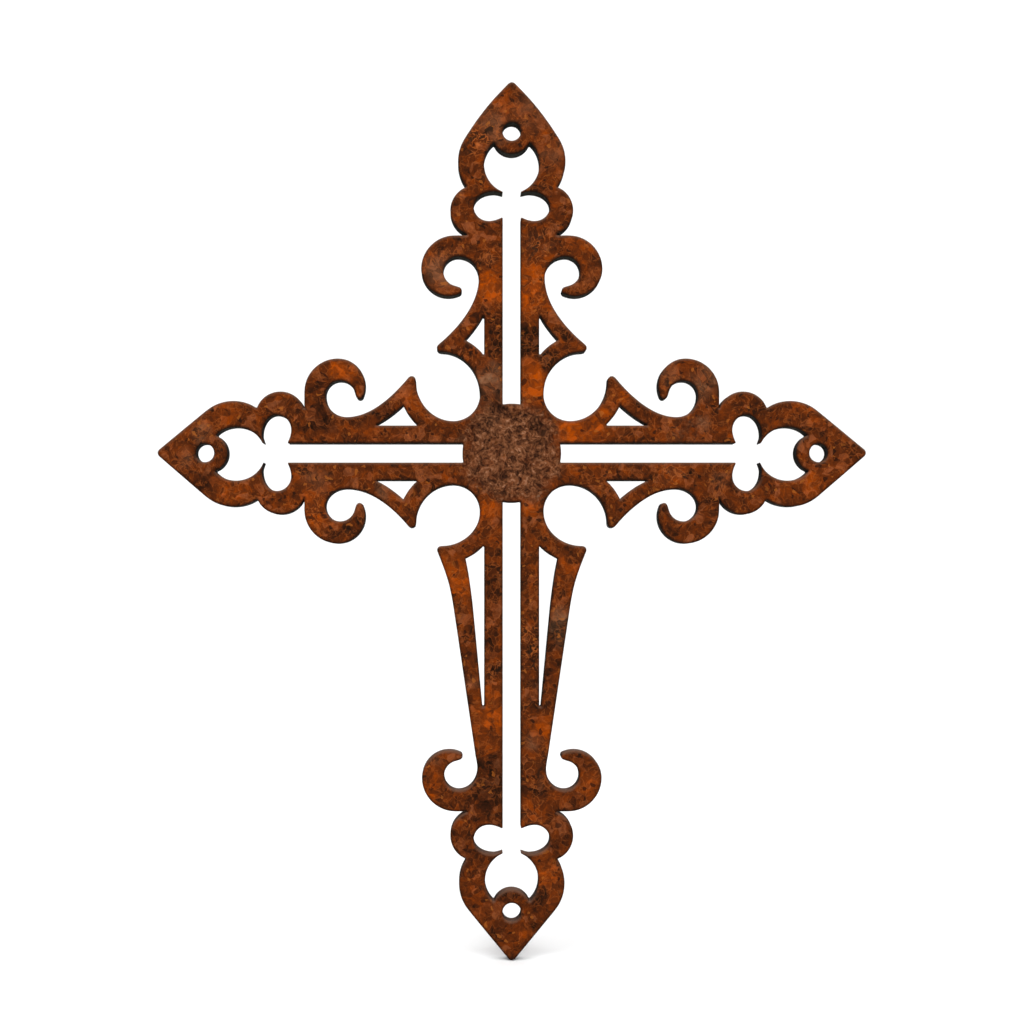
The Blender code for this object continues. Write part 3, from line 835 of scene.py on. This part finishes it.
def rust_material():
    """Rusted steel: flakes, curls and stains in brown, orange and grey, with painted shade and painted
    highlight on the crust's curls and on the rim, and painted shade on the cut walls.
    """
    material = bpy.data.materials.new("rusted_steel")
    material.use_nodes = True
    tree = material.node_tree
    where = add(tree, "TexCoord").outputs["Object"]
    bent = curled(tree, where, RUST_PUSHES)
    parts = rust_parts(tree, where, bent)
    rust = flaked_rust(tree, bent, parts)
    rust = marked_rust(tree, rust, parts)
    rust = crusted_rust(tree, rust, parts)
    rust = edged_rust(tree, rust, parts)
    rough = calc(tree, "MULTIPLY_ADD", parts["mottle"], ROUGHNESS_MOTTLE, ROUGHNESS)
    relief = weighed(tree, parts, RELIEF_SHARES)
    bump = add(tree, "Bump", {"Height": relief, "Strength": BUMP_STRENGTH, "Distance": BUMP_DISTANCE})
    shader = tree.nodes["Principled BSDF"]
    shader.inputs["Specular IOR Level"].default_value = SPECULAR
    tree.links.new(rust, shader.inputs["Base Color"])
    tree.links.new(rough, shader.inputs["Roughness"])
    tree.links.new(bump.outputs[0], shader.inputs["Normal"])
    return material


def build_plate():
    """The rusted plate, in place of the solid."""
    rings = [smooth_ring(ring) for ring in front_rings(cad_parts[NODE_NAME])]
    mesh = plate_mesh("rusted_plate", rings, Outline(rings))
    mesh.materials.append(rust_material())
    plate = bpy.data.objects.new("rusted_plate", mesh)
    bpy.context.scene.collection.objects.link(plate)
    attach(plate, "root")
    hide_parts(NODE_NAME)


def build_camera():
    """The camera at the photo's viewing angle."""
    lens = bpy.data.cameras.new("camera")
    lens.sensor_width = SENSOR_WIDTH
    lens.lens = LENS_LENGTH
    lens.shift_x = SHIFT_X
    lens.shift_y = SHIFT_Y
    lens.clip_start = CAMERA_CLIP
    camera = bpy.data.objects.new("camera", lens)
    camera.location = (CAMERA_X, FRONT - CAMERA_AWAY, CAMERA_Z)
    camera.rotation_euler = (math.pi / 2, 0.0, 0.0)
    bpy.context.scene.collection.objects.link(camera)
    bpy.context.scene.camera = camera


def build_stage():
    """A plain pale floor that curves up into a plain backdrop."""
    floor = FOOT_TIP - FLOOR_GAP
    profile = [(FLOOR_FRONT, floor), (FLOOR_BEND, floor)]
    for i in range(1, BEND_STEPS + 1):
        turn = math.pi / 2 * i / BEND_STEPS
        profile.append((FLOOR_BEND + BEND_RADIUS * math.sin(turn),
                        floor + BEND_RADIUS * (1 - math.cos(turn))))
    profile.append((FLOOR_BEND + BEND_RADIUS, WALL_TOP))
    places = [(x, y, z) for y, z in profile for x in (-STAGE_HALF, STAGE_HALF)]
    faces = [(2 * i, 2 * i + 1, 2 * i + 3, 2 * i + 2) for i in range(len(profile) - 1)]
    mesh = bpy.data.meshes.new("studio_sweep")
    mesh.from_pydata(places, [], faces)
    mesh.shade_smooth()
    material = bpy.data.materials.new("pale_paper")
    material.use_nodes = True
    shader = material.node_tree.nodes["Principled BSDF"]
    shader.inputs["Base Color"].default_value = PAPER
    shader.inputs["Roughness"].default_value = PAPER_ROUGHNESS
    mesh.materials.append(material)
    sweep = bpy.data.objects.new("studio_sweep", mesh)
    bpy.context.scene.collection.objects.link(sweep)


def softbox(name, place, aim, size, power):
    """A square soft light that faces a point."""
    lamp = bpy.data.lights.new(name, "AREA")
    lamp.shape = "SQUARE"
    lamp.size = size
    lamp.energy = power
    light = bpy.data.objects.new(name, lamp)
    light.location = place
    direction = np.subtract(aim, place)
    flat = math.hypot(direction[0], direction[1])
    light.rotation_euler = (math.pi / 2 + math.atan2(direction[2], flat), 0.0,
                            math.atan2(direction[1], direction[0]) - math.pi / 2)
    bpy.context.scene.collection.objects.link(light)


def build_light():
    """Soft studio light from above and in front."""
    for light in LIGHTS:
        softbox(*light)
    world = bpy.data.worlds.new("studio")
    world.use_nodes = True
    background = world.node_tree.nodes["Background"]
    background.inputs["Color"].default_value = SKY
    background.inputs["Strength"].default_value = SKY_STRENGTH
    bpy.context.scene.world = world
    bpy.context.scene.view_settings.view_transform = "Standard"


build_camera()
build_stage()
build_light()
build_plate()
